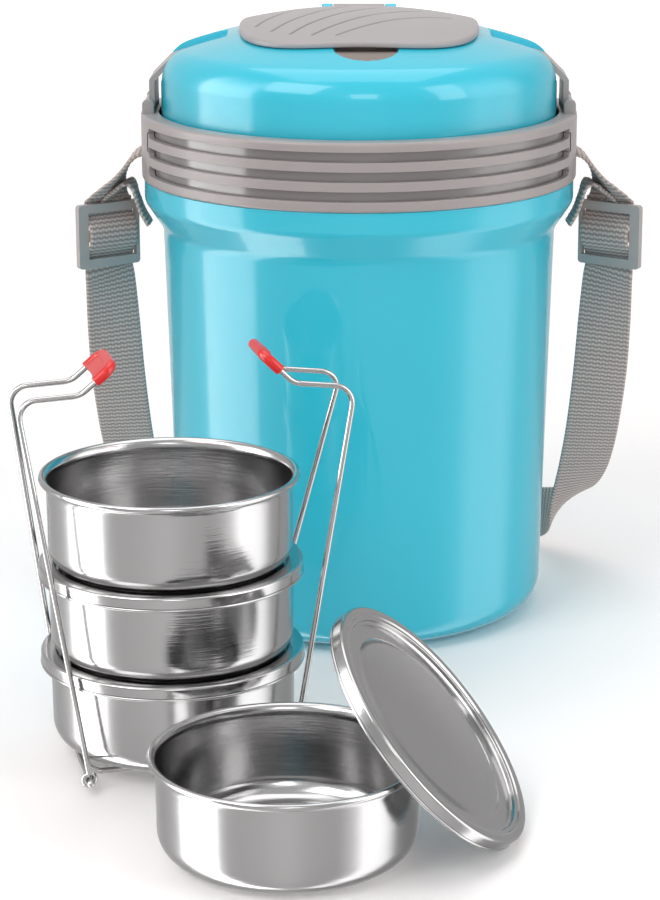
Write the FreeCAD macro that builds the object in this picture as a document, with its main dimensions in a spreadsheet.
# Insulated electric tiffin carrier with a wire rack, four steel containers
# and three container lids.  Millimetres, +Z up, origin on the table plane on
# the axis of the carrier, -Y is the front (indicator side), +X is the right.
import FreeCAD, Part
import Sketcher
import math, os
from FreeCAD import Placement, Rotation, Vector

SIZES = dict(
    # carrier body
    shell_radius_top=88.0, shell_radius_base=83.8, shell_wall=2.2,
    shell_bottom=1.2, shell_floor=4.6, skirt_inner=66.0,
    base_flat_radius=70.8, base_round=13.0, flare_radius=96.2,
    flare_low=177.0, flare_high=189.5, shell_shoulder=199.4,
    neck_outer=92.2, neck_inner=90.0, neck_top=222.0,
    baseplate_radius=65.7, baseplate_low=2.0, baseplate_thick=2.4,
    foot_outer=60.0, foot_inner=50.0,
    screw_circle=40.0, screw_head_radius=3.0, screw_shank_radius=1.45,
    # vessel and heater
    vessel_inner=60.0, vessel_wall=0.8, vessel_floor=19.6,
    vessel_flange_level=213.2, vessel_flange_radius=89.7,
    foam_inner=61.2, foam_outer=81.0, foam_low=20.0, foam_high=213.0,
    heater_radius=48.0, heater_low=16.4, heater_thick=3.1,
    thermostat_radius=8.5, thermostat_low=8.5,
    # indicator and power inlet
    bezel_width=14.0, bezel_height=12.2, bezel_level=7.3, bezel_proud=0.7,
    lens_radius=4.4, lens_level=13.4,
    inlet_width=19.0, inlet_height=11.0, inlet_level=27.0,
    inlet_flange_width=25.0, inlet_flange_height=16.0,
    # ring collar
    ring_radius=97.2, ring_inner=94.4, ring_low=199.4, ring_high=228.9,
    deck_inner=89.1, deck_thick=2.5, slot_height=4.3,
    slot_one=220.5, slot_two=212.2, slot_three=203.9, slot_half_angle=70.5,
    liner_outer=94.2, strap_window_low=206.5, strap_window_high=211.8,
    strap_window_half=14.0,
    # lid
    lid_radius=88.0, lid_low=219.0, lid_crown=270.0, dome_radius=245.0,
    dome_edge_radius=77.76, dome_edge_level=257.33, shoulder_radius=15.0,
    shoulder_low=243.11, lid_inner=85.6, hatch_radius=50.0,
    channel_half=14.0, thumb_radius=13.5, thumb_level=261.4,
    liner_low=216.5, liner_thick=2.0, lid_foam_high=238.0,
    tray_wall=2.0, tray_low=238.2, tray_high=262.0,
    gasket_inner=79.0, gasket_outer=85.0, gasket_low=214.1,
    # flap
    flap_gap=0.3, flap_thick=2.6, flap_half_width=49.0, flap_half_depth=56.5,
    hinge_back=62.4, hinge_level=265.6, hinge_pin_radius=1.2, knuckle_radius=2.7,
    # latches
    latch_pivot_offset=93.0, latch_pivot_level=231.7, latch_barrel_radius=2.6,
    latch_half_width=13.0, latch_pin_radius=1.05,
    # webbing and buckles
    web_width=24.0, web_thick=1.6, web_side=112.0,
    buckle_level=172.0, buckle_height=29.0, buckle_thick=3.0,
    buckle_opening=24.8, buckle_outer_bar=5.0, buckle_inner_bar=1.6,
    buckle_end_bar=4.0, buckle_mid_bar=5.0, buckle_turn=35.0,
    # steel containers
    pot_height=38.0, pot_radius=48.2, pot_wall=0.7, pot_flat=38.0,
    pot_round=10.0, pot_rim=51.1,
    cover_radius=52.1, cover_skirt=5.0, cover_plug=46.5, cover_recess=2.2,
    stack_side=-74.0, stack_front=-192.0, stack_yaw=14.0,
    front_pot_side=-26.0, front_pot_front=-291.0,
    # wire rack
    wire_radius=1.1, bar_level=4.6, bar_side=40.0, bar_half=41.0,
    arm_foot_half=37.0, arm_top_half=12.0, arm_top_side=60.5, arm_top_level=150.0,
    arm_lean=4.5,
)

# Directions of the three base screws from the axis.
SCREW_DIRECTIONS = ((0.0, 1.0), (0.8660254, -0.5), (-0.8660254, -0.5))
# Depth that takes a cut from the middle plane out through the carrier wall.
THROUGH_WALL = 95.0
ALONG_X = Rotation(Vector(0, 1, 0), 90)
ALONG_MINUS_Y = Rotation(Vector(1, 0, 0), 90)

doc = FreeCAD.newDocument("tiffin_carrier")
pieces = []


# ------------------------------------------------------------ driving sizes
class Size(object):
    """A length that carries its number and its spreadsheet expression."""
    def __init__(self, value, text):
        self.value = float(value)
        self.text = text

    @staticmethod
    def of(other):
        return other if isinstance(other, Size) else Size(other, "(%r)" % float(other))

    def __add__(self, other):
        other = Size.of(other)
        return Size(self.value + other.value, "(%s + %s)" % (self.text, other.text))

    def __sub__(self, other):
        other = Size.of(other)
        return Size(self.value - other.value, "(%s - %s)" % (self.text, other.text))

    def __mul__(self, other):
        other = Size.of(other)
        return Size(self.value * other.value, "(%s * %s)" % (self.text, other.text))

    def __neg__(self):
        return Size(-self.value, "(0 - %s)" % self.text)


class Dims(object):
    """Every driving size as an attribute, backed by the spreadsheet."""
    def __init__(self, sizes):
        sheet = doc.addObject("Spreadsheet::Sheet", "Dims")
        for row, (alias, value) in enumerate(sizes.items(), 1):
            sheet.set("A%d" % row, alias)
            sheet.set("B%d" % row, repr(value))
            sheet.setAlias("B%d" % row, alias)
            setattr(self, alias, Size(value, "Dims." + alias))
        doc.recompute()


dims = Dims(SIZES)


def bind(obj, prop, size):
    obj.setExpression(prop, Size.of(size).text)


def place(obj, x, y, z, rotation=Rotation()):
    """Sets a placement and binds the coordinates that are driving sizes."""
    spot = (x, y, z)
    obj.Placement = Placement(Vector(*[Size.of(c).value for c in spot]), rotation)
    for axis, coordinate in zip("xyz", spot):
        if isinstance(coordinate, Size):
            bind(obj, "Placement.Base." + axis, coordinate)


def keep(obj):
    """Marks an object as a finished piece, exported under its label."""
    pieces.append(obj)
    return obj


# ------------------------------------------------------------ sketches
def constrain(sketch, kind, geometry, point, size):
    """Bound distance of a point from the origin along one sketch axis."""
    size = Size.of(size)
    if abs(size.value) < 1e-9:
        axis = -2 if kind == "DistanceX" else -1
        sketch.addConstraint(Sketcher.Constraint("PointOnObject", geometry, point, axis))
        return
    index = sketch.addConstraint(
        Sketcher.Constraint(kind, -1, 1, geometry, point, size.value))
    sketch.setExpression("Constraints[%d]" % index, size.text)


def constrain_radius(sketch, geometry, radius):
    index = sketch.addConstraint(Sketcher.Constraint("Radius", geometry, radius.value))
    sketch.setExpression("Constraints[%d]" % index, radius.text)


def draw_arc(sketch, start, end, radius, side):
    """Arc from start to end; side +1 puts its centre on the left of the chord.
    Returns the geometry with its start and end point numbers."""
    chord = end - start
    length = chord.Length
    rise = math.sqrt(max(radius ** 2 - length * length / 4.0, 0.0))
    left = Vector(-chord.y, chord.x, 0) * (1.0 / length)
    centre = (start + end) * 0.5 + left * (rise * side)
    begin = math.atan2(start.y - centre.y, start.x - centre.x)
    finish = math.atan2(end.y - centre.y, end.x - centre.x)
    # Sketch arcs run anticlockwise, so a right-hand arc is drawn end first.
    first, last = (1, 2) if side > 0 else (2, 1)
    if side < 0:
        begin, finish = finish, begin
    if finish <= begin:
        finish += 2 * math.pi
    curve = Part.Circle(centre, Vector(0, 0, 1), radius)
    return sketch.addGeometry(Part.ArcOfCircle(curve, begin, finish), False), first, last


def draw_loop(sketch, points):
    """Closed profile.  Points are (x, y), or (x, y, radius, side) where an
    arc runs from this point to the next one."""
    corners = [(Size.of(p[0]), Size.of(p[1])) for p in points]
    flat = [Vector(x.value, y.value, 0) for x, y in corners]
    count = len(points)
    edges = []
    for i, point in enumerate(points):
        start, end = flat[i], flat[(i + 1) % count]
        if len(point) > 2:
            radius = Size.of(point[2])
            edges.append(draw_arc(sketch, start, end, radius.value, point[3]) + (radius,))
        else:
            line = sketch.addGeometry(Part.LineSegment(start, end), False)
            edges.append((line, 1, 2, None))
    for i, (edge, first, last, radius) in enumerate(edges):
        after = edges[(i + 1) % count]
        sketch.addConstraint(
            Sketcher.Constraint("Coincident", edge, last, after[0], after[1]))
    for (edge, first, last, radius), (x, y) in zip(edges, corners):
        constrain(sketch, "DistanceX", edge, first, x)
        constrain(sketch, "DistanceY", edge, first, y)
    for edge, first, last, radius in edges:
        if radius is not None:
            constrain_radius(sketch, edge, radius)


def draw_circle(sketch, x, y, radius):
    x, y, radius = Size.of(x), Size.of(y), Size.of(radius)
    curve = Part.Circle(Vector(x.value, y.value, 0), Vector(0, 0, 1), radius.value)
    geometry = sketch.addGeometry(curve, False)
    constrain(sketch, "DistanceX", geometry, 3, x)
    constrain(sketch, "DistanceY", geometry, 3, y)
    constrain_radius(sketch, geometry, radius)


def box(x0, y0, x1, y1):
    return [(x0, y0), (x1, y0), (x1, y1), (x0, y1)]


def sided_box(side, x0, y0, x1, y1):
    """The box, or its mirror image across the vertical axis for side -1."""
    return box(x0, y0, x1, y1) if side > 0 else box(-x1, y0, -x0, y1)


def centred_box(half_width, level, half_height):
    return box(-half_width, level - half_height, half_width, level + half_height)


def new_body(name):
    return doc.addObject("PartDesign::Body", name)


def sketch_on(body, plane, tag, loops=(), circles=(), lift=None):
    """Sketch on a body plane, lifted along the plane's normal.
    The normals are XY: +Z, XZ: -Y, YZ: +X."""
    sketch = body.newObject("Sketcher::SketchObject", body.Name + "_" + tag)
    support = [f for f in body.Origin.OriginFeatures if f.Role == plane + "_Plane"][0]
    sketch.AttachmentSupport = [(support, "")]
    sketch.MapMode = "FlatFace"
    if lift is not None:
        lift = Size.of(lift)
        sketch.AttachmentOffset = Placement(Vector(0, 0, lift.value), Rotation())
        bind(sketch, "AttachmentOffset.Base.z", lift)
    for points in loops:
        draw_loop(sketch, points)
    for x, y, radius in circles:
        draw_circle(sketch, x, y, radius)
    return sketch


# ------------------------------------------------------------ features
def check_cut(feature, body, before):
    if not body.Shape.Volume < before - 0.5:
        raise RuntimeError("no cut: " + feature.Name)


def revolve(body, sketch, tag="turn", angle=None, cut=False):
    """Turns a sketch about its vertical axis; an angle is split to both sides."""
    before = body.Shape.Volume if cut else 0.0
    kind = "PartDesign::Groove" if cut else "PartDesign::Revolution"
    feature = body.newObject(kind, body.Name + "_" + tag)
    feature.Profile = sketch
    feature.ReferenceAxis = (sketch, ["V_Axis"])
    feature.Angle = 360.0 if angle is None else angle.value
    if angle is not None:
        feature.Midplane = True
        bind(feature, "Angle", angle)
    sketch.Visibility = False
    doc.recompute()
    if cut:
        check_cut(feature, body, before)


def pad(body, sketch, length, tag, midplane=False, reverse=False, kind="Pad"):
    """Pads along the sketch normal, or against it when reversed."""
    feature = body.newObject("PartDesign::" + kind, body.Name + "_" + tag)
    feature.Profile = sketch
    length = Size.of(length)
    feature.Length = length.value
    bind(feature, "Length", length)
    if midplane:
        feature.Midplane = True
    feature.Reversed = reverse
    sketch.Visibility = False
    doc.recompute()
    return feature


def pocket(body, sketch, length, tag, midplane=False, reverse=False):
    """Cuts against the sketch normal, or along it when reversed."""
    before = body.Shape.Volume
    feature = pad(body, sketch, length, tag, midplane, reverse, kind="Pocket")
    check_cut(feature, body, before)


def round_edges(body, radius, pick, tag):
    """Fillets the edges of the tip that pick accepts."""
    base = body.Tip
    names = ["Edge%d" % i for i, edge in enumerate(base.Shape.Edges, 1) if pick(edge)]
    if not names:
        raise RuntimeError("no edges for " + tag)
    fillet = body.newObject("PartDesign::Fillet", body.Name + "_" + tag)
    fillet.Base = (base, names)
    fillet.Radius = radius
    bind(fillet, "Radius", radius)
    doc.recompute()


def ring_edge(radius, level):
    """Picks the horizontal circular edges of one radius at one level."""
    def pick(edge):
        curve = edge.Curve
        return (isinstance(curve, Part.Circle)
                and abs(curve.Radius - radius.value) < 0.05
                and abs(curve.Center.z - level.value) < 0.05
                and abs(curve.Axis.z) > 0.99)
    return pick


def turned(name, points):
    """Body turned about Z from a profile of (radius, level) points."""
    body = new_body(name)
    revolve(body, sketch_on(body, "XZ", "profile", [points]))
    return body


def screw_holes(body, level, radius, depth, tag):
    """Three holes cut upwards from a level on the screw circle."""
    reach = dims.screw_circle
    circles = [(reach * x, reach * y, radius) for x, y in SCREW_DIRECTIONS]
    sketch = sketch_on(body, "XY", tag + "_holes", circles=circles, lift=level)
    pocket(body, sketch, depth, tag, reverse=True)


def primitive(kind, name, spot=(0.0, 0.0, 0.0), rotation=Rotation(), **sizes):
    obj = doc.addObject("Part::" + kind, name)
    for prop, size in sizes.items():
        setattr(obj, prop, Size.of(size).value)
        bind(obj, prop, size)
    place(obj, *spot, rotation=rotation)
    return obj


def boolean(kind, name, base, tool):
    obj = doc.addObject("Part::" + kind, name)
    obj.Base = base
    obj.Tool = tool
    return obj


def compound(name, links):
    obj = doc.addObject("Part::Compound", name)
    obj.Links = links
    return obj


def fixed_piece(name, shape, placement=None):
    obj = doc.addObject("Part::Feature", name)
    obj.Shape = shape
    if placement is not None:
        obj.Placement = placement
    return keep(obj)


# ------------------------------------------------------------ carrier body
ROUND_TOP = dims.shell_bottom + dims.base_round   # level where the base round ends


def outer_shell():
    top, base, wall = dims.shell_radius_top, dims.shell_radius_base, dims.shell_wall
    floor, low, flat = dims.shell_floor, dims.shell_bottom, dims.base_flat_radius
    flare, high, shoulder = dims.flare_radius, dims.flare_high, dims.shell_shoulder
    shell = turned("outer_shell", [
        (0.0, floor), (dims.skirt_inner, floor), (dims.skirt_inner, low),
        (flat, low, dims.base_round, 1), (base, ROUND_TOP), (top, dims.flare_low),
        (flare, high), (flare, shoulder), (dims.neck_outer, shoulder),
        (dims.neck_outer, dims.neck_top), (dims.neck_inner, dims.neck_top),
        (dims.neck_inner, high), (top - wall, dims.flare_low + 1.0),
        (base - wall, ROUND_TOP, dims.base_round - wall, -1),
        (flat, floor + wall), (0.0, floor + wall)])
    round_edges(shell, 5.0, ring_edge(top, dims.flare_low), "underflare")
    round_edges(shell, 3.5, ring_edge(flare, high), "flare_round")

    clearance = 0.1
    half = dims.bezel_width * 0.5 + clearance
    lamp = box(-half, dims.bezel_level - clearance,
               half, dims.bezel_level + dims.bezel_height + clearance)
    pocket(shell, sketch_on(shell, "XZ", "lamp_window", [lamp]), THROUGH_WALL,
           "lamp_cut", reverse=True)

    clearance = 0.15
    inlet = centred_box(dims.inlet_width * 0.5 + clearance, dims.inlet_level,
                        dims.inlet_height * 0.5 + clearance)
    pocket(shell, sketch_on(shell, "XZ", "inlet_window", [inlet]), THROUGH_WALL,
           "inlet_cut")
    screw_holes(shell, floor, dims.screw_shank_radius + 0.05, wall + 0.5, "boss")
    keep(shell)


def base_plate():
    low = dims.baseplate_low
    plate = turned("base_plate",
                   box(0.0, low, dims.baseplate_radius, low + dims.baseplate_thick))
    screw_holes(plate, low, dims.screw_shank_radius + 0.15, 4.0, "shank")
    screw_holes(plate, low, dims.screw_head_radius + 0.2, 1.2, "head")
    keep(plate)


def foot_ring():
    keep(turned("foot_ring", box(dims.foot_inner, 0.0, dims.foot_outer,
                                 dims.baseplate_low)))


def base_screws():
    """Three screws, each with a straight driver slot in the head."""
    slot_length, slot_width = 4.0, 0.9
    low = dims.baseplate_low
    screws = []
    for number, (along_x, along_y) in enumerate(SCREW_DIRECTIONS, 1):
        x, y = dims.screw_circle * along_x, dims.screw_circle * along_y
        head = primitive("Cylinder", "screw_head_%d" % number, (x, y, low + 0.1),
                         Radius=dims.screw_head_radius, Height=1.05)
        shank = primitive("Cylinder", "screw_shank_%d" % number, (x, y, low + 1.0),
                          Radius=dims.screw_shank_radius, Height=3.7)
        slot = primitive("Box", "screw_drive_%d" % number,
                         (x - slot_length / 2, y - slot_width / 2, low),
                         Length=slot_length, Width=slot_width, Height=0.6)
        blank = boolean("Fuse", "screw_blank_%d" % number, head, shank)
        screws.append(boolean("Cut", "screw_%d" % number, blank, slot))
    keep(compound("base_screws", screws))


def inner_vessel():
    inner, wall, floor = dims.vessel_inner, dims.vessel_wall, dims.vessel_floor
    level, corner = dims.vessel_flange_level, 6.0
    outer = inner + wall
    keep(turned("inner_vessel", [
        (0.0, floor), (outer - corner, floor, corner, 1), (outer, floor + corner),
        (outer, level), (dims.vessel_flange_radius, level),
        (dims.vessel_flange_radius, level + wall), (inner, level + wall),
        (inner, floor + corner, -wall + corner, -1),
        (outer - corner, floor + wall), (0.0, floor + wall)]))


def foam_insulation():
    foam = turned("foam_insulation", box(dims.foam_inner, dims.foam_low,
                                         dims.foam_outer, dims.foam_high))
    notch = box(-13.0, dims.foam_low - 1.0, 13.0, dims.inlet_level + 9.5)
    pocket(foam, sketch_on(foam, "XZ", "inlet_notch", [notch]), THROUGH_WALL, "notch")
    keep(foam)


def heater_plate():
    low = dims.heater_low
    keep(turned("heater_plate", box(0.0, low, dims.heater_radius,
                                    low + dims.heater_thick)))


def thermostat():
    radius, low = dims.thermostat_radius, dims.thermostat_low
    neck, step = radius - 2.0, low + 3.5
    keep(turned("thermostat", [
        (0.0, low), (neck, low), (neck, step), (radius, step),
        (radius, dims.heater_low), (0.0, dims.heater_low)]))


# ------------------------------------------------------------ indicator and inlet
def indicator_bezel():
    """Curved strip that follows the shell, trimmed by a box and bored."""
    flat, base, proud = dims.base_flat_radius, dims.shell_radius_base, dims.bezel_proud
    strip_top = 22.0
    strip = turned("bezel_strip", [
        (flat + 8.0, ROUND_TOP - 9.0),
        (flat + 9.9, ROUND_TOP - 9.6, dims.base_round + proud, 1),
        (base + proud, ROUND_TOP), (base + proud + 0.2, strip_top),
        (base - 3.2, strip_top), (base - 3.4, ROUND_TOP)])
    blank = primitive("Box", "bezel_blank",
                      (dims.bezel_width * -0.5, -90.0, dims.bezel_level),
                      Length=dims.bezel_width, Width=20.0, Height=dims.bezel_height)
    trim = boolean("Common", "bezel_trim", strip, blank)
    bore = primitive("Cylinder", "bezel_bore", (0.0, -72.0, dims.lens_level),
                     ALONG_MINUS_Y, Radius=dims.lens_radius + 0.05, Height=20.0)
    keep(boolean("Cut", "indicator_bezel", trim, bore))


def indicator_lens():
    lens = new_body("indicator_lens")
    sketch = sketch_on(lens, "XZ", "disc", lift=80.6,
                       circles=[(0.0, dims.lens_level, dims.lens_radius)])
    pad(lens, sketch, 4.2, "disc_pad")
    keep(lens)


PIN_SIDE = 4.2           # inlet pin axes left and right of the middle


def power_inlet():
    """Flanged inlet at the back, its socket open to +Y."""
    level = dims.inlet_level
    inlet = new_body("power_inlet")
    flange = centred_box(dims.inlet_flange_width * 0.5, level,
                         dims.inlet_flange_height * 0.5)
    pad(inlet, sketch_on(inlet, "XZ", "flange", [flange], lift=-84.0), 2.4,
        "flange_pad", reverse=True)
    barrel = centred_box(dims.inlet_width * 0.5, level, dims.inlet_height * 0.5)
    pad(inlet, sketch_on(inlet, "XZ", "barrel", [barrel], lift=-85.0), 19.0,
        "barrel_pad")
    cut_lift = -88.0
    socket = box(-7.6, level - 3.8, 7.6, level + 3.8)
    pocket(inlet, sketch_on(inlet, "XZ", "socket", [socket], lift=cut_lift), 17.0,
           "socket_cut", reverse=True)
    bores = [(side * PIN_SIDE, level, 1.25) for side in (1.0, -1.0)]
    pocket(inlet, sketch_on(inlet, "XZ", "pin_bores", circles=bores, lift=cut_lift),
           30.0, "pin_cut", reverse=True)

    # The shell is curved, so the seat of the flange is trimmed to clear it.
    seat = primitive("Cylinder", "inlet_seat", Radius=84.9, Height=60.0)
    seat_inner = primitive("Cylinder", "inlet_seat_inner", Radius=80.0, Height=60.0)
    seat_ring = boolean("Cut", "inlet_seat_ring", seat, seat_inner)
    window = primitive("Box", "inlet_seat_window",
                       (dims.inlet_width * -0.5, 65.0, level - dims.inlet_height * 0.5),
                       Length=dims.inlet_width, Width=30.0, Height=dims.inlet_height)
    seat_tool = boolean("Cut", "inlet_seat_tool", seat_ring, window)
    trimmed = boolean("Cut", "power_inlet_trimmed", inlet, seat_tool)
    inlet.Label = "power_inlet_blank"
    trimmed.Label = "power_inlet"
    keep(trimmed)


def inlet_pins():
    keep(compound("inlet_pins", [
        primitive("Cylinder", "inlet_pin_%d" % number,
                  (side * PIN_SIDE, 82.5, dims.inlet_level), ALONG_MINUS_Y,
                  Radius=1.2, Height=19.0)
        for number, side in ((1, 1.0), (2, -1.0))]))


# ------------------------------------------------------------ ring collar and latches
def cut_ring_slots(ring):
    """Three long arc slots through the front wall and three through the back."""
    for side, tag in ((-1.0, "front"), (1.0, "back")):
        slots = [sided_box(side, dims.ring_inner - 1.0, low,
                           dims.ring_radius + 1.0, low + dims.slot_height)
                 for low in (dims.slot_one, dims.slot_two, dims.slot_three)]
        revolve(ring, sketch_on(ring, "YZ", tag + "_slots", slots), tag + "_groove",
                angle=dims.slot_half_angle * 2.0, cut=True)


def add_latch_lugs(ring):
    """Two round-topped lugs for each latch, one at each end of its barrel."""
    foot, shoulder = dims.ring_high - 1.0, dims.latch_pivot_level + 1.2
    half, top_radius = 2.7, 2.71
    for side, side_tag in ((1.0, "right"), (-1.0, "left")):
        middle = dims.latch_pivot_offset * side
        left, right = middle - half, middle + half
        for end, end_tag in ((1.0, "rear"), (-1.0, "near")):
            tag = "%s_%s_lug" % (side_tag, end_tag)
            outline = [(left, foot), (right, foot), (right, shoulder, top_radius, 1),
                       (left, shoulder)]
            sketch = sketch_on(ring, "XZ", tag, [outline],
                               lift=(dims.latch_half_width + 0.3) * -end)
            pad(ring, sketch, 3.0, tag + "_pad", reverse=end > 0)


def ring_collar():
    outer, inner, deck = dims.ring_radius, dims.ring_inner, dims.deck_inner
    low, high = dims.ring_low, dims.ring_high
    ring = turned("ring_collar", [
        (inner, low), (outer, low), (outer, high), (deck, high),
        (deck, high - dims.deck_thick), (inner, high - dims.deck_thick)])
    round_edges(ring, 1.8, ring_edge(outer, high), "crown_round")
    round_edges(ring, 1.2, ring_edge(outer, low), "hem_round")
    cut_ring_slots(ring)
    half = dims.strap_window_half
    window = box(-half, dims.strap_window_low, half, dims.strap_window_high)
    pocket(ring, sketch_on(ring, "YZ", "strap_windows", [window]), 220.0,
           "strap_cut", midplane=True)
    add_latch_lugs(ring)
    bores = [(dims.latch_pivot_offset * side, dims.latch_pivot_level,
              dims.latch_pin_radius + 0.02) for side in (1.0, -1.0)]
    pocket(ring, sketch_on(ring, "XZ", "lug_bores", circles=bores), 60.0,
           "lug_cut", midplane=True)
    keep(ring)


def collar_liner(name, side):
    """Curved strip behind the slots of one side."""
    liner = new_body(name)
    profile = sided_box(side, dims.neck_outer + 0.1, dims.ring_low + 0.6,
                        dims.liner_outer, dims.ring_high - dims.deck_thick - 0.3)
    revolve(liner, sketch_on(liner, "YZ", "profile", [profile]),
            angle=dims.slot_half_angle * 2.0 + 10.0)
    keep(liner)


def latch_pins():
    length = 32.0
    keep(compound("latch_pins", [
        primitive("Cylinder", "latch_pin_%d" % number,
                  (dims.latch_pivot_offset * side, length / 2, dims.latch_pivot_level),
                  ALONG_MINUS_Y, Radius=dims.latch_pin_radius, Height=length)
        for number, side in ((1, 1.0), (2, -1.0))]))


# Latch arm section about its pivot: (outwards, up).
LATCH_ELBOW = (-0.4, 11.8)
LATCH_ARM = [(-0.4, 0.0), LATCH_ELBOW, (-8.8, 20.2), (-14.4, 22.3),
             (-15.0, 20.5), (-9.7, 18.3), (-2.8, 10.9), (-2.8, 0.0)]


def latch(name, side):
    pivot_x, pivot_z = dims.latch_pivot_offset, dims.latch_pivot_level
    width = dims.latch_half_width * 2.0
    elbow_x = pivot_x.value + LATCH_ELBOW[0]
    elbow_z = pivot_z.value + LATCH_ELBOW[1]

    def at_elbow(edge):
        middle = edge.CenterOfMass
        return (isinstance(edge.Curve, Part.Line)
                and abs(abs(middle.x) - elbow_x) < 0.05
                and abs(middle.z - elbow_z) < 0.05)

    body = new_body(name)
    arm = [((pivot_x + out) * side, pivot_z + up) for out, up in LATCH_ARM]
    pad(body, sketch_on(body, "XZ", "arm", [arm]), width, "arm_pad", midplane=True)
    barrel = (pivot_x * side, pivot_z, dims.latch_barrel_radius)
    pad(body, sketch_on(body, "XZ", "barrel", circles=[barrel]), width,
        "barrel_pad", midplane=True)
    round_edges(body, 2.0, at_elbow, "elbow_round")
    bore = (pivot_x * side, pivot_z, dims.latch_pin_radius + 0.05)
    pocket(body, sketch_on(body, "XZ", "bore", circles=[bore]), 60.0,
           "bore_cut", midplane=True)
    keep(body)


# ------------------------------------------------------------ lid
# Latch channel section: (outwards from the lid radius, level).
CHANNEL = [(4.0, 234.0), (0.3, 241.3), (-3.5, 246.2), (-7.0, 249.2), (-11.0, 251.6),
           (-15.0, 253.6), (-29.5, 259.4), (-28.0, 272.0), (4.0, 272.0)]


def lid_shell():
    radius, inner, hatch = dims.lid_radius, dims.lid_inner, dims.hatch_radius
    lid = turned("lid_shell", [
        (inner, dims.lid_low), (radius, dims.lid_low),
        (radius, dims.shoulder_low, dims.shoulder_radius, 1),
        (dims.dome_edge_radius, dims.dome_edge_level, dims.dome_radius, 1),
        (hatch, 264.84), (hatch, 258.0), (58.0, 256.0), (72.0, 250.0),
        (80.0, 243.5), (inner, 232.0)])
    channels = [[((radius + out) * side, level) for out, level in CHANNEL]
                for side in (1.0, -1.0)]
    pocket(lid, sketch_on(lid, "XZ", "latch_channels", channels),
           dims.channel_half * 2.0, "channel_cut", midplane=True)
    thumb = (3.0, -57.5, dims.thumb_radius)
    pocket(lid, sketch_on(lid, "XY", "thumb_recess", circles=[thumb],
                          lift=dims.thumb_level), 14.0, "thumb_cut", reverse=True)

    # hinge lugs at the back of the hatch
    back, level, knuckle = dims.hinge_back, dims.hinge_level, dims.knuckle_radius
    lug_foot = 257.5
    lug = [(back - knuckle, lug_foot), (back + knuckle, lug_foot),
           (back + knuckle, level, knuckle, 1), (back - knuckle, level)]
    for side, tag in ((1.0, "lug_right"), (-1.0, "lug_left")):
        pad(lid, sketch_on(lid, "YZ", tag, [lug], lift=12.2 * side), 5.0,
            tag + "_pad", reverse=side < 0)
    bore = (back, level, dims.hinge_pin_radius + 0.02)
    pocket(lid, sketch_on(lid, "YZ", "hinge_bore", circles=[bore]), 60.0,
           "hinge_cut", midplane=True)
    keep(lid)


def hinge_cylinder(name, radius, length):
    """Cylinder along X on the flap hinge axis, centred left to right."""
    return primitive("Cylinder", name,
                     (-length / 2, dims.hinge_back, dims.hinge_level), ALONG_X,
                     Radius=radius, Height=length)


def flap_outline():
    """Bulged rectangle with arc corners, padded through the flap slab."""
    half_x, half_y = dims.flap_half_width, dims.flap_half_depth
    corner, corner_radius = 24.0, 26.5
    end_bulge, side_bulge = 150.0, 130.0
    body = new_body("flap_outline")
    outline = [
        (-half_x + corner, -half_y, end_bulge, 1),
        (half_x - corner, -half_y, corner_radius, 1),
        (half_x, -half_y + corner, side_bulge, 1),
        (half_x, half_y - corner, corner_radius, 1),
        (half_x - corner, half_y, end_bulge, 1),
        (-half_x + corner, half_y, corner_radius, 1),
        (-half_x, half_y - corner, side_bulge, 1),
        (-half_x, -half_y + corner, corner_radius, 1)]
    pad(body, sketch_on(body, "XY", "outline", [outline], lift=250.0), 30.0,
        "outline_pad")
    return body


def flap_knuckle():
    back, level, radius = dims.hinge_back, dims.hinge_level, dims.knuckle_radius
    edge = dims.flap_half_depth
    body = new_body("flap_knuckle")
    profile = [(back, level - radius, radius, 1), (back, level + radius),
               (edge - 4.0, level + radius - 0.3), (edge - 4.0, level - 0.9),
               (edge + 3.2, level - radius + 0.6)]
    pad(body, sketch_on(body, "YZ", "knuckle", [profile]), 24.0, "knuckle_pad",
        midplane=True)
    return body


def lid_flap():
    """Slice of the dome, trimmed by its outline, with a knuckle at the back."""
    slab_radius = 66.0
    crown = dims.lid_crown + dims.flap_gap
    under = dims.dome_radius + dims.flap_gap
    upper = under + dims.flap_thick

    def rim_level(sphere):
        return (math.sqrt(sphere.value ** 2 - slab_radius ** 2)
                + (dims.lid_crown.value - dims.dome_radius.value))

    slab = turned("flap_slab", [
        (0.0, crown, under, -1), (slab_radius, rim_level(under)),
        (slab_radius, rim_level(upper), upper, 1), (0.0, crown + dims.flap_thick)])
    plate = boolean("Common", "flap_plate", slab, flap_outline())
    blank = boolean("Fuse", "flap_blank", plate, flap_knuckle())
    bore = hinge_cylinder("flap_bore", dims.hinge_pin_radius + 0.05, 60.0)
    keep(boolean("Cut", "lid_flap", blank, bore))


def lid_inside():
    """Liner disc, gasket, foam and cord tray, all turned about Z."""
    low, inner = dims.liner_low, dims.hatch_radius
    top = low + dims.liner_thick
    keep(turned("lid_liner", box(0.0, low, dims.lid_inner - 0.3, top)))
    keep(turned("lid_gasket", box(dims.gasket_inner, dims.gasket_low,
                                  dims.gasket_outer, low)))
    foam_radius = 84.8
    keep(turned("lid_foam", [
        (0.0, top), (foam_radius, top), (foam_radius, 231.5), (79.5, 242.5),
        (71.8, 249.0), (58.0, 254.8), (inner + 0.4, 256.6),
        (inner + 0.4, dims.lid_foam_high), (0.0, dims.lid_foam_high)]))
    outer, floor, wall = inner - 0.2, dims.tray_low, dims.tray_wall
    keep(turned("cord_tray", [
        (0.0, floor), (outer, floor), (outer, dims.tray_high),
        (outer - wall, dims.tray_high), (outer - wall, floor + wall),
        (0.0, floor + wall)]))


TRAY_TOP = dims.tray_low + dims.tray_wall   # upper face of the tray floor


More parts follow.
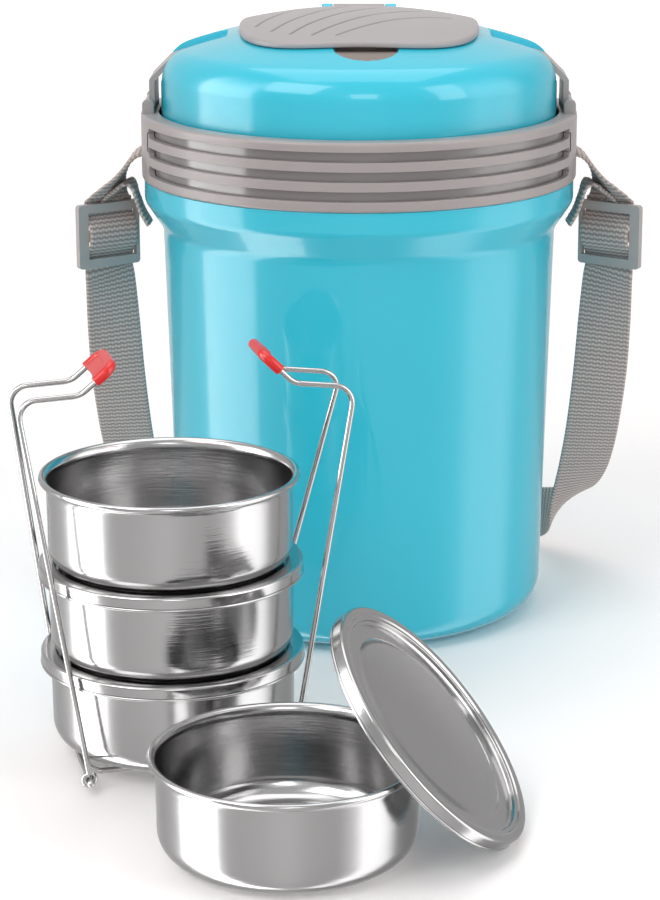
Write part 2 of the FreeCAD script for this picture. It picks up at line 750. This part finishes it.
def power_cord():
    """Two turns of a helix swept with a round section."""
    coil_radius, pitch, cord_radius = 40.0, 6.6, 2.9
    helix = Part.makeHelix(pitch, 2 * pitch, coil_radius)
    section = Part.Wire([Part.Circle(Vector(coil_radius, 0, 0), Vector(0, 1, 0),
                                     cord_radius).toShape()])
    fixed_piece("power_cord",
                Part.Wire(helix.Edges).makePipeShell([section], True, True),
                Placement(Vector(0, 0, TRAY_TOP.value + 3.1), Rotation()))


def cord_plug():
    """Tapered block with two round blades pointing to the left."""
    back, shoulder, nose = -17.0, 11.0, 17.0
    plug = new_body("cord_plug")
    outline = [(back, -9.0), (shoulder, -9.0), (nose, -6.0), (nose, 6.0),
               (shoulder, 9.0), (back, 9.0)]
    pad(plug, sketch_on(plug, "XY", "plug", [outline], lift=TRAY_TOP + 0.1), 13.0,
        "plug_pad")
    blades = [(y, TRAY_TOP + 6.6, 1.9) for y in (4.4, -4.4)]
    pad(plug, sketch_on(plug, "YZ", "blades", circles=blades, lift=back), 14.0,
        "blade_pad", reverse=True)
    keep(plug)


# ------------------------------------------------------------ webbing and buckles
def strap_path():
    """Stations of the strap from the right end round the back to the left
    end, each ((x, y, z), width direction)."""
    side, level = dims.web_side.value, dims.buckle_level.value
    turn = math.radians(dims.buckle_turn.value)

    def at_buckle(off, z):
        """Station off the middle plane of the buckle, which is turned about Z."""
        return ((side + off * math.sin(turn), off * math.cos(turn), z),
                (math.cos(turn), -math.sin(turn), 0))

    right = [
        # from the collar window down to the buckle
        ((100.0, 0.0, 209.6), (0, -1, 0)),
        ((104.4, 0.0, 204.0), (0.06, -1, 0)),
        ((107.6, 0.0, 198.5), (0.22, -0.97, 0)),
        ((110.2, 0.4, 193.5), (0.48, -0.87, 0)),
        ((112.2, 1.3, 190.0), (0.7, -0.71, 0)),
        # threaded over the end bars and behind the middle bar
        at_buckle(2.55, 187.4), at_buckle(2.55, level + 9.9),
        at_buckle(-2.6, level + 3.6), at_buckle(-2.6, level - 3.6),
        at_buckle(2.55, level - 9.9), at_buckle(2.7, level - 16.0),
        # down the side and round to the back
        ((side + 0.6, 5.0, 140.0), (0.9, -0.43, 0)),
        ((side, 10.0, 115.0), (0.98, -0.2, 0)),
        ((side - 1.2, 18.0, 90.0), (1, -0.05, 0)),
        ((side - 3.0, 29.0, 66.0), (0.99, 0, 0.12)),
        ((side - 6.0, 42.0, 45.0), (0.93, 0, 0.37)),
        ((side - 10.5, 55.0, 30.0), (0.78, 0.0, 0.62)),
        ((side - 17.5, 67.0, 20.5), (0.5, 0, 0.87)),
        ((side - 27.5, 79.0, 15.8), (0.2, 0, 0.98)),
        ((side - 40.0, 90.5, 14.2), (0, 0, 1)),
        ((side - 56.0, 101.0, 13.6), (0, 0, 1)),
        ((side - 74.0, 108.5, 13.4), (0, 0, 1)),
        ((side - 93.0, 112.6, 13.3), (0, 0, 1))]
    left = [((-p[0], p[1], p[2]), (-w[0], w[1], w[2])) for p, w in reversed(right)]
    return right + [((0.0, 114.0, 13.3), (0, 0, 1))] + left


def strap_sections(path):
    """Four corners of the strap's rectangular section at each station."""
    half_width, half_thick = dims.web_width.value / 2.0, dims.web_thick.value / 2.0
    points = [Vector(*point) for point, width in path]
    sections = []
    previous = None
    for i, (point, (_, width)) in enumerate(zip(points, path)):
        tangent = points[min(i + 1, len(points) - 1)] - points[max(i - 1, 0)]
        tangent.normalize()
        across = Vector(*width)
        across = across - tangent * across.dot(tangent)
        across.normalize()
        # keep the width direction from flipping between stations
        if previous is not None and across.dot(previous) < 0:
            across = across * -1.0
        previous = across
        normal = tangent.cross(across)
        normal.normalize()
        wide, thick = across * half_width, normal * half_thick
        sections.append([point + wide + thick, point - wide + thick,
                         point - wide - thick, point + wide - thick])
    return sections


def shoulder_strap():
    """Faceted band: two triangles on each side between stations."""
    sections = strap_sections(strap_path())
    faces = [Part.Face(Part.makePolygon(s + [s[0]])) for s in (sections[0], sections[-1])]
    for here, there in zip(sections[:-1], sections[1:]):
        for i in range(4):
            j = (i + 1) % 4
            for a, b, c in ((here[i], here[j], there[j]), (here[i], there[j], there[i])):
                faces.append(Part.Face(Part.makePolygon([a, b, c, a])))
    skin = Part.makeShell(faces)
    skin.sewShape()
    solid = Part.makeSolid(skin)
    # the sewn skin may face inwards
    if solid.Volume < 0:
        solid.reverse()
    fixed_piece("shoulder_strap", solid)


def buckle(name, side):
    """Flat frame with a middle bar, its wider upright on the outer side."""
    middle, level, thick = dims.web_side, dims.buckle_level, dims.buckle_thick
    half_opening, half_height = dims.buckle_opening * 0.5, dims.buckle_height * 0.5
    inner, outer = middle - half_opening, middle + half_opening
    low, high = level - half_height, level + half_height
    half_bar, end_bar = dims.buckle_mid_bar * 0.5, dims.buckle_end_bar

    def at_corner(edge):
        centre = edge.CenterOfMass
        return (isinstance(edge.Curve, Part.Line)
                and abs(edge.Length - thick.value) < 0.01
                and abs(abs(centre.z - level.value) - half_height.value) < 0.05
                and abs(centre.y) < 0.01)

    body = new_body(name)
    frame = [
        sided_box(side, inner - dims.buckle_inner_bar, low,
                  outer + dims.buckle_outer_bar, high),
        sided_box(side, inner, low + end_bar, outer, level - half_bar),
        sided_box(side, inner, level + half_bar, outer, high - end_bar)]
    pad(body, sketch_on(body, "XZ", "frame", frame), thick, "frame_pad", midplane=True)
    round_edges(body, 1.6, at_corner, "corner_round")
    turn = Rotation(Vector(0, 0, 1), -dims.buckle_turn.value * side)
    body.Placement = Placement(Vector(0, 0, 0), turn, Vector(middle.value * side, 0, 0))
    keep(body)


# ------------------------------------------------------------ containers and lids
def container(name, x, y, z):
    """Open steel pot with a rolled-out rim, its base at z."""
    height, radius, wall = dims.pot_height, dims.pot_radius, dims.pot_wall
    flat, corner, rim = dims.pot_flat, dims.pot_round, dims.pot_rim
    base_radius = radius - 0.2
    body = turned(name, [
        (0.0, 0.0), (flat, 0.0, corner, 1), (base_radius, corner),
        (radius, height - 3.6), (rim - 1.2, height - 2.4), (rim, height - 2.0),
        (rim, height - 0.7), (rim - 0.7, height), (rim - 1.7, height),
        (radius - wall, height - 2.9),
        (base_radius - wall, corner, corner - wall, -1), (flat, wall), (0.0, wall)])
    place(body, x, y, z)
    keep(body)


def container_lid(name):
    """Recessed steel lid with a beaded skirt, level 0 on the pot rim."""
    sheet = 0.7
    radius, plug = dims.cover_radius, dims.cover_plug
    hem, recess = -dims.cover_skirt, -dims.cover_recess
    return keep(turned(name, [
        (0.0, recess - sheet), (plug, recess - sheet), (plug, 0.0),
        (radius - sheet, 0.0), (radius - sheet, hem), (radius, hem),
        (radius + 0.35, hem + 0.7), (radius, hem + 1.4), (radius, 0.1),
        (radius - 0.6, sheet), (plug - sheet, sheet), (plug - sheet, recess),
        (0.0, recess)]))


def containers():
    """Stack of three on the rack, and one in front with its lid leaning on it."""
    x, y = dims.stack_side, dims.stack_front
    lid_gap = 0.05
    stack_low = dims.bar_level + dims.wire_radius + 0.05
    pitch = dims.pot_height + lid_gap - dims.cover_recess + 0.02
    for k, name in enumerate(("container_bottom", "container_middle", "container_top")):
        container(name, x, y, stack_low + pitch * k)
    for k, name in enumerate(("lid_bottom", "lid_middle")):
        place(container_lid(name), x, y,
              stack_low + pitch * k + dims.pot_height + lid_gap)
    container("container_front", dims.front_pot_side, dims.front_pot_front, 0.0)
    lean = Vector(0.75, -0.13, 0.648)
    lean.normalize()
    place(container_lid("lid_front"), 27.65, -276.0, 42.97,
          Rotation(Vector(0, 0, 1), lean))


# ------------------------------------------------------------ wire rack
WIRE = dims.wire_radius.value
BAR_LEVEL = dims.bar_level.value
BAR_SIDE = dims.bar_side.value
ARM_HALF = dims.arm_top_half.value
# Arm bend and handle end at the top of each arm: (outwards, level).
BEND = (36.0, dims.arm_top_level.value + 1.0)
HANDLE = (23.5, dims.arm_top_level.value + 11.5)
RACK_PLACE = Placement(Vector(dims.stack_side.value, dims.stack_front.value, 0),
                       Rotation(Vector(0, 0, 1), dims.stack_yaw.value))


def rod(start, end):
    axis = end - start
    return Part.makeCylinder(WIRE, axis.Length, start, axis)


def bent_wire(points):
    """Rods through the points with a ball at each bend."""
    wire = rod(points[0], points[1])
    for start, end in zip(points[1:-1], points[2:]):
        # the ball is a hair over wire size so that it fuses cleanly
        wire = wire.fuse(Part.makeSphere(WIRE * 1.0002, start))
        wire = wire.fuse(rod(start, end))
    return wire


def rack_base():
    """Two long bars with ball ends, joined by two cross wires."""
    half, foot_inset = dims.bar_half.value, 6.0
    base = None
    for side in (1.0, -1.0):
        x = side * BAR_SIDE
        bar = rod(Vector(x, -half, BAR_LEVEL), Vector(x, half, BAR_LEVEL))
        for end in (-1.0, 1.0):
            bar = bar.fuse(Part.makeSphere(WIRE * 1.45, Vector(x, end * half, BAR_LEVEL)))
        base = bar if base is None else base.fuse(bar)
    foot = BAR_SIDE - foot_inset
    for y in (-20.0, 20.0):
        base = base.fuse(bent_wire([
            Vector(-BAR_SIDE, y, BAR_LEVEL), Vector(-foot, y, WIRE),
            Vector(foot, y, WIRE), Vector(BAR_SIDE, y, BAR_LEVEL)]))
    fixed_piece("rack_base", base.removeSplitter(), RACK_PLACE)


def arm_shape(side):
    """Bent wire arm that hooks round a base bar with an eye at each foot."""
    foot_half = dims.arm_foot_half.value
    eye_radius = WIRE + 0.06
    near = [(BAR_SIDE, -foot_half, BAR_LEVEL + 2.25),
            (dims.arm_top_side.value, -ARM_HALF, dims.arm_top_level.value),
            (BEND[0], -ARM_HALF, BEND[1]), (HANDLE[0], -ARM_HALF, HANDLE[1])]
    far = [(x, -y, z) for x, y, z in reversed(near)]
    shape = bent_wire([Vector(side * x, y, z) for x, y, z in near + far])

    def eye_disc(end, radius, length):
        start = Vector(side * BAR_SIDE, end * foot_half - length / 2, BAR_LEVEL)
        return Part.makeCylinder(radius, length, start, Vector(0, 1, 0))

    for end in (-1.0, 1.0):
        shape = shape.fuse(eye_disc(end, eye_radius + 2.0 * WIRE, 2.0 * WIRE))
    for end in (-1.0, 1.0):
        shape = shape.cut(eye_disc(end, eye_radius, 8.0))
    return shape.removeSplitter()


def grip_shape(side, arm):
    """Rounded block over the closed end of the arm, with the wire cut out."""
    length, thick = 11.0, 4.4
    bend = Vector(side * BEND[0], 0, BEND[1])
    run = Vector(side * (HANDLE[0] - BEND[0]), 0, HANDLE[1] - BEND[1])
    along = run * (1.0 / run.Length)
    across = Vector(0, 1, 0)
    up = along.cross(across) * -1.0
    core = Part.makeBox(length, 2.0 * ARM_HALF + thick, thick)
    core = core.makeFillet(2.0, core.Edges)
    core.translate(Vector(0, -ARM_HALF - thick / 2, -thick / 2))
    core = core.transformGeometry(FreeCAD.Matrix(
        along.x, across.x, up.x, 0,
        along.y, across.y, up.y, 0,
        along.z, across.z, up.z, 0,
        0, 0, 0, 1))
    core.translate(bend + along * (run.Length - length + thick / 2))
    return core.cut(arm)


def rack_arm(name, side, lean_angle):
    """One arm and its grip, leaned about its base bar."""
    lean = Placement(Vector(0, 0, 0), Rotation(Vector(0, 1, 0), lean_angle),
                     Vector(side * BAR_SIDE, 0, BAR_LEVEL))
    placement = RACK_PLACE.multiply(lean)
    arm = arm_shape(side)
    grip = grip_shape(side, arm)
    fixed_piece("rack_arm_" + name, arm, placement)
    fixed_piece("grip_" + name, grip, placement)


# ------------------------------------------------------------ check and export
def check_document():
    bad = ["%s:%s" % (obj.Name, state) for obj in doc.Objects for state in obj.State
           if "Invalid" in state or "Error" in state]
    bad += [piece.Label + " shape" for piece in pieces
            if piece.Shape.isNull() or not piece.Shape.isValid()]
    if bad:
        raise RuntimeError("bad objects: " + ", ".join(bad))


def export_pieces():
    os.makedirs("parts", exist_ok=True)
    for name in os.listdir("parts"):
        if name.endswith(".step"):
            os.remove(os.path.join("parts", name))
    for piece in pieces:
        piece.Shape.exportStep("parts/%s.step" % piece.Label)


outer_shell()
base_plate()
foot_ring()
base_screws()
inner_vessel()
foam_insulation()
heater_plate()
thermostat()
indicator_bezel()
indicator_lens()
power_inlet()
inlet_pins()

ring_collar()
collar_liner("collar_liner_front", -1)
collar_liner("collar_liner_back", 1)
latch_pins()
latch("latch_right", 1.0)
latch("latch_left", -1.0)

lid_shell()
keep(hinge_cylinder("flap_hinge_pin", dims.hinge_pin_radius, 35.0))
lid_flap()
lid_inside()
power_cord()
cord_plug()

shoulder_strap()
buckle("buckle_right", 1.0)
buckle("buckle_left", -1.0)
containers()
rack_base()
rack_arm("left", -1.0, 0.0)
rack_arm("right", 1.0, dims.arm_lean.value)

doc.recompute()
check_document()
export_pieces()
